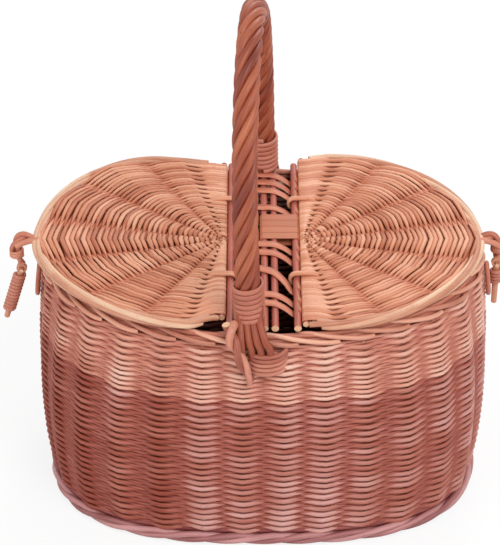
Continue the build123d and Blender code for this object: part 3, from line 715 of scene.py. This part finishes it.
# Lids. Seven willow ribs fan out from the middle of a stick on the lid's straight side. Weavers go over and
# under them in arcs, and half of these are wrapped round the stick. Four rods are laid round the edge, and
# two pairs of loops join the stick to the bridge.
lid_paint = willow_paint("lid willow", (222, 163, 132), (199, 129, 97), (162, 88, 60))
rib_paint = willow_paint("rib bark", (190, 118, 92), (150, 82, 64), (98, 42, 34), woven=False, tone=0.4)
lid_rod_paint = willow_paint("lid rim willow", (220, 182, 152), (198, 142, 114), (158, 86, 60))
lid_rows = 68
rib_fan, rib_spacing = 72.0, 24.0
last_rib = int(2 * rib_fan / rib_spacing)
lid_steps, edge_samples, turn_steps = 6, 900, 6
corner_share = 0.12
pared, lid_weaver, lid_swing = 0.45 * mm, 1.3 * mm, 3.2 * mm
row_stray, pulled_straight = 0.35, 0.6
rim_steps, rim_radius, rim_inset, rim_swing, rim_turns = 80, 2.5 * mm, 4.4 * mm, 2.5 * mm, 1.7
loop_radius, loop_run = 1.5 * mm, 14 * mm
lid_reach = {-1: 210 * mm, 1: 201 * mm}
# Front half and back half: the widest place, the depth there, the depth at the corner and the roundness
lid_halves = {
    -1: [(68 * mm, 130 * mm, 119 * mm, 1.7), (98 * mm, 142 * mm, 133 * mm, 2.0)],
    1: [(62 * mm, 132 * mm, 129 * mm, 1.7), (62 * mm, 146 * mm, 141 * mm, 2.0)],
}


def lid_edge(side, share, inset):
    """A point of the lid's curved edge, from its front corner at share 0 round to the back one at 1."""
    widest, depth, corner, roundness = lid_halves[side][0 if share < 0.5 else 1]
    from_corner = min(share, 1 - share)
    if from_corner < corner_share:
        rest = 1 - from_corner / corner_share
        x = widest + (lid_start - widest) * rest
        y = depth + (corner - depth) * rest**2 * (3 - 2 * rest) - inset
    else:
        angle = math.pi / 2 * (0.5 - from_corner) / (0.5 - corner_share)
        x = widest + (lid_reach[side] - inset - widest) * math.cos(angle) ** (2 / roundness)
        y = (depth - inset) * math.sin(angle) ** (2 / roundness)
    return Vector((side * x, -y if share < 0.5 else y, 0))


def lid_directions(side, straight):
    """The edge's points from the front corner to the back one, at even steps of the angle between ribs."""
    samples = [lid_edge(side, number / edge_samples, 5.5 * mm) for number in range(edge_samples + 1)]
    angles = [math.degrees(math.atan2(point.y, abs(point.x) - straight)) for point in samples]
    found, place = [], 0
    for step in range(-lid_steps, (last_rib + 1) * lid_steps + 1):
        number = step / lid_steps
        angle = -rib_fan + number * rib_spacing
        if number < 0:
            angle = -rib_fan + number * (90 - rib_fan)
        elif number > last_rib:
            angle = rib_fan + (number - last_rib) * (90 - rib_fan)
        while place < edge_samples and angles[place] < angle:
            place += 1
        found.append((number, samples[place]))
    return found


def stick_turns(centre, reach, side):
    """The end of a weaver, bent round the stick: over it, down its free side and back under it."""
    points = []
    for step in range(1, turn_steps + 1):
        angle = math.pi * (0.5 + 0.95 * step / turn_steps)
        points.append(centre + Vector((side * reach * math.cos(angle), 0, reach * math.sin(angle))))
    return points


for side, lid in [(-1, "left_lid"), (1, "right_lid")]:
    edge_low, edge_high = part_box(lid + "_edge_stick")
    lid_level = (edge_low.z + edge_high.z) / 2
    straight = abs(edge_low.x + edge_high.x) / 2
    edge_radius = (edge_high.z - edge_low.z) / 2
    lid_start = straight + edge_radius + 0.3 * mm
    hub = Vector((side * straight, 0, lid_level))
    directions = [(number, point - Vector((hub.x, 0, 0))) for number, point in lid_directions(side, straight)]
    at_ribs = {number: run for number, run in directions if number == int(number)}
    half_way = [run for number, run in directions if number * 2 == int(number * 2)]
    backing_widths = [1.1 * run.length / lid_rows for run in half_way]
    lid_mesh = new_rods()
    for row in range(lid_rows):
        # Two rows in four turn back beside the outer ribs, and the others spread out and go on to the stick
        goes_on = row % 4 in (0, 3)
        strays = [dice.uniform(-row_stray, row_stray) for rib in range(last_rib + 3)]
        line, widths, heights, painted_shade, wide = [], [], [], [], []
        for number, run in directions:
            beyond = max(0.0, -number, number - last_rib)
            if beyond > 0.5 and not goes_on:
                continue
            spread = min(1.0, beyond / 0.6)
            rib = min(int(number + 1), last_rib + 1)
            between = number + 1 - rib
            stray = strays[rib] * (1 - between) + strays[rib + 1] * between
            if beyond == 0 and number < last_rib:
                run = run.lerp(at_ribs[rib - 1].lerp(at_ribs[rib], between), pulled_straight)
            swing = max(-1.0, min(1.0, 1.5 * math.cos(math.pi * (number + row))))
            swing += (1 - swing) * spread if goes_on else (-1 - swing) * spread
            shift = stray * (1 - spread) + (spread * (0.5 if row % 4 == 0 else -0.5) if goes_on else 0)
            part = (row + 0.7 + shift) / lid_rows
            line.append(hub + run * part + Vector((0, 0, lid_swing * swing)))
            clear = max(0.0, min(1.0, (abs(line[-1].x) - lid_start) / (10 * mm)))
            heights.append(pared + (lid_weaver - pared) * clear)
            widths.append(run.length / lid_rows * (0.46 + 0.54 * abs(swing)) * (1 + 0.3 * spread * goes_on))
            # Painted shade where the weaver dips under a rib
            painted_shade.append(0.3 * (1 - abs(swing)) * (1 - spread))
            wide.append(0.25 * spread)
        tones = [tone + pale for tone, pale in zip(patched_tones(len(line), 0.1, 0.95, (12, 40)), wide)]
        if goes_on:
            front, back = [
                stick_turns(Vector((hub.x, place.y, lid_level)), edge_radius + pared, side)
                for place in (line[0], line[-1])
            ]
            line = front[::-1] + line[1:-1] + back
            widths, heights, painted_shade, tones = [
                values[:1] * turn_steps + values[1:-1] + values[-1:] * turn_steps
                for values in (widths, heights, painted_shade, tones)
            ]
        lay_rod(lid_mesh, line, widths, tones, heights, side=along_y, painted_shade=painted_shade)
        if row % 2 == 0:
            # A flat strip lies under each pair of rows and closes the gaps between them, darkened by painted
            # shade
            backing = [hub + run * (row + 1.2) / lid_rows for run in half_way]
            backing_shade = [0.5] * len(backing)
            lay_rod(lid_mesh, backing, backing_widths, 0.3, 0.5 * mm, sides=4, side=along_y, painted_shade=backing_shade)
    finish_rods(lid_mesh, lid + "_weavers", lid, lid + "_weave", lid_paint)

    edge_mesh = new_rods()
    lay_rod(edge_mesh, straight_line(hub.x, edge_low, edge_high, lid_level), edge_radius, 0.4, sides=16)
    finish_rods(edge_mesh, lid + "_edge_rod", lid, lid + "_edge_stick", bridge_paint)

    rim_mesh = new_rods()
    for strand, (first, last) in enumerate([(0.0, 1.0), (0.035, 0.99), (0.012, 0.975), (0.06, 1.0)]):
        line = []
        for step in range(rim_steps + 1):
            share = first + (last - first) * step / rim_steps
            turned = 2 * math.pi * (strand / 4 + rim_turns * share)
            place = lid_edge(side, share, rim_inset - rim_swing * math.cos(turned))
            line.append(place + Vector((0, 0, lid_level + rim_swing * math.sin(turned))))
        lay_rod(rim_mesh, line, rim_radius, patched_tones(len(line), 0.1, 1.0, (14, 40)), sides=10)
    finish_rods(rim_mesh, lid + "_rim", lid, lid + "_rim_rods", lid_rod_paint)

    loop_mesh = new_rods()
    loop_reach = lid_level + edge_radius - hinge_level + 1.8 * mm
    for place in [66 * mm, -56 * mm]:
        for shift in [-1.45 * mm, 1.45 * mm]:
            line = []
            for bend_x, first_angle in [(hinge_x, math.pi / 2), (hinge_x + loop_run, 1.5 * math.pi)]:
                for step in range(9):
                    angle = first_angle + math.pi * step / 8
                    x = side * (bend_x + loop_reach * math.cos(angle))
                    line.append(Vector((x, place + shift, hinge_level + loop_reach * math.sin(angle))))
            lay_rod(loop_mesh, line + line[:2], loop_radius, dice.uniform(0.5, 0.9), sides=8)
    finish_rods(loop_mesh, lid + "_loops", lid, lid + "_hinge_loops", lid_paint)
    paint_solids(rib_paint, lid + "_ribs")

# Ties. Two rods, twisted together, come out of the end of each lid and turn down, and a few turns of cane are
# knotted round them. They carry a peg on a pin, and the cut end of a rod lies beside them.
tie_paint = willow_paint("tie willow", (210, 144, 118), (182, 110, 88), (130, 64, 50))
tie_y, tie_radius, tie_twist = 5.5 * mm, 2.5 * mm, 2.0 * mm
tie_bulge = {-1: 17.5 * mm, 1: 15 * mm}
knot_radius, knot_cane, knot_cane_height, knot_length, knot_turns = 4.3 * mm, 1.2 * mm, 1.5 * mm, 8 * mm, 3.5
stub_radius, pin_radius = 2.9 * mm, 1.8 * mm
# How far out the pins of the pegs lie, and how far below the lids
peg_pins = {-1: (221 * mm, 28 * mm), 1: (213.5 * mm, 22 * mm)}
for side, lid in [(-1, "left_lid"), (1, "right_lid")]:
    reach, bulge = lid_reach[side], tie_bulge[side]
    pin_x, drop = peg_pins[side]
    tie_mesh = new_rods()
    pin = Vector((side * pin_x, tie_y, lid_level - drop))
    run = smooth_line([
        Vector((side * (reach - 4 * mm), tie_y, lid_level)),
        Vector((side * (reach + bulge * 0.5), tie_y, lid_level + 3.2 * mm)),
        Vector((side * (reach + bulge * 0.95), tie_y, lid_level - 5 * mm)),
        Vector((side * (reach + bulge * 0.9), tie_y, lid_level - 14 * mm)),
        pin - Vector((0, 0, 1 * mm)),
    ], 6)
    for strand in range(2):
        line = []
        for step, (point, (first, second)) in enumerate(zip(run, across_line(run, along_y))):
            turned = math.pi * strand + 0.28 * step
            line.append(point + (first * math.cos(turned) + second * math.sin(turned)) * tie_twist)
        lay_rod(tie_mesh, line, tie_radius, 0.3 + 0.35 * strand, sides=10)
    knot = Vector((side * (reach + bulge * 0.88), tie_y, lid_level - drop + 9 * mm))
    wound_cane(
        tie_mesh, knot, upwards, knot_radius, knot_cane, knot_cane_height, knot_length, knot_turns, along_x
    )
    stub = [
        Vector((side * (reach + x * mm), 0, lid_level + z * mm))
        for x, z in ((-6, 2), (2, 1.5), (9, -1), (15, -5))
    ]
    lay_rod(tie_mesh, stub, stub_radius, 0.7, sides=10)
    pin_line = [Vector((pin.x, y * mm, pin.z)) for y in (8.0, 3.0, -2.0, -6.0)]
    lay_rod(tie_mesh, pin_line, pin_radius, 0.6, sides=12)
    finish_rods(tie_mesh, lid + "_tie_twist", lid, lid + "_tie", tie_paint)

# Pegs. Each is a whittled willow stick that swings on the pin of its tie. The left one is closely whipped
# with cane, and the right one has a few turns of it under the pin.
peg_paint = willow_paint(
    "peg willow", (214, 158, 126), (192, 128, 100), (148, 86, 64), woven=False, stretch=(1, 1, 0.08)
)
paint_solids(peg_paint, "left_peg", "right_peg")
peg_radius, below_pin = 3.0 * mm, 7.2 * mm
for node, body, slot, side, slant, cane, turns, length in [
    ("left_peg_whipping", "left_peg", "binding", -1, 17, 1.6 * mm, 11, 41 * mm),
    ("right_peg_collar", "right_peg", "tie", 1, 0, 1.5 * mm, 4, 14 * mm),
]:
    pin_x, drop = peg_pins[side]
    hang = Vector((side * math.sin(math.radians(slant)), 0, -math.cos(math.radians(slant))))
    top = Vector((side * pin_x, 0, lid_level - drop)) + hang * below_pin
    wound_mesh = new_rods()
    wound_cane(wound_mesh, top, hang, peg_radius, cane, length / turns * 0.54, length, turns, along_y)
    finish_rods(wound_mesh, node + "_cane", body, node, binding_paint)

# Wall rings. A ring of willow rod is threaded through the siding under each tie. A peg that is pushed through
# it keeps the lid shut.
ring_level, ring_rise, ring_depth, ring_radius = 203 * mm, 16 * mm, 8.5 * mm, 2.2 * mm
for side, end in [(-1, "left"), (1, "right")]:
    ring_mesh = new_rods()
    line = []
    for step in range(27):
        angle = 2 * math.pi * step / 24
        level = ring_level + ring_rise * math.sin(angle)
        line.append(Vector((side * (wall_oval(level)[0] + 8.7 * mm), ring_depth * math.cos(angle), level)))
    lay_rod(ring_mesh, line, ring_radius, 0.5, sides=10, side=along_x)
    finish_rods(ring_mesh, end + "_wall_ring_rod", "root", end + "_wall_ring", tie_paint)

# Studio. A plain pale floor lies in an even pale world. A soft key lamp stands high in front on the right, a
# fill is lower on the left, and a third lamp lights the basket from behind.
floor_grey, floor_glow, world_glow = 0.86, 0.82, 0.72
bpy.ops.mesh.primitive_plane_add(size=12, location=(0, 0, 0))
ground = bpy.context.object
ground.name = "studio_floor"
ground_paint = bpy.data.materials.new("studio floor")
ground_paint.use_nodes = True
tree = ground_paint.node_tree
shader = tree.nodes["Principled BSDF"]
shader.inputs["Base Color"].default_value = (floor_grey, floor_grey, floor_grey, 1)
shader.inputs["Roughness"].default_value = 0.9
white = put(tree, "ShaderNodeEmission", {"Color": (1, 1, 1, 1), "Strength": 1.0})
ray = put(tree, "ShaderNodeLightPath")
seen = put(tree, "ShaderNodeMath", {0: ray.outputs["Is Camera Ray"], 1: floor_glow}, operation="MULTIPLY")
blend = put(tree, "ShaderNodeMixShader", {0: seen.outputs[0]})
tree.links.new(shader.outputs[0], blend.inputs[1])
tree.links.new(white.outputs[0], blend.inputs[2])
tree.links.new(blend.outputs[0], tree.nodes["Material Output"].inputs["Surface"])
ground.data.materials.append(ground_paint)

world = bpy.data.worlds.new("studio")
bpy.context.scene.world = world
world.use_nodes = True
tree = world.node_tree
back = tree.nodes["Background"]
back.inputs["Color"].default_value = (1, 1, 1, 1)
rays = put(tree, "ShaderNodeLightPath").outputs
seen = put(tree, "ShaderNodeMath", {0: rays["Is Camera Ray"], 1: rays["Is Glossy Ray"]}, operation="MAXIMUM")
tree.links.new(mapped(tree, seen.outputs[0], (0.0, 1.0), (world_glow, 1.0)), back.inputs["Strength"])


def studio_lamp(name, place, aim, size, power):
    """A round soft lamp at a place that faces a point."""
    lamp = bpy.data.lights.new(name, "AREA")
    lamp.shape = "DISK"
    lamp.size = size
    lamp.energy = power
    holder = bpy.data.objects.new(name, lamp)
    bpy.context.scene.collection.objects.link(holder)
    holder.location = place
    holder.rotation_euler = (Vector(aim) - Vector(place)).to_track_quat("-Z", "Y").to_euler()


studio_lamp("key", (0.8, -1.3, 2.0), (0, 0, 0.15), 1.3, 27)
studio_lamp("fill", (-1.7, -1.1, 0.9), (0, 0, 0.15), 1.4, 9)
studio_lamp("back", (0.5, 1.6, 1.6), (0, 0, 0.2), 1.0, 14)

camera = bpy.data.cameras.new("camera")
camera.lens = 158.4
camera.sensor_width = 36
camera_holder = bpy.data.objects.new("camera", camera)
bpy.context.scene.collection.objects.link(camera_holder)
aim = Vector((-0.012, 0, 0.209))
camera_distance, camera_rise = 2.2, math.radians(35)
camera_holder.location = aim + camera_distance * Vector((0, -math.cos(camera_rise), math.sin(camera_rise)))
camera_holder.rotation_euler = (aim - camera_holder.location).to_track_quat("-Z", "Y").to_euler()
bpy.context.scene.camera = camera_holder
bpy.context.scene.view_settings.view_transform = "Standard"
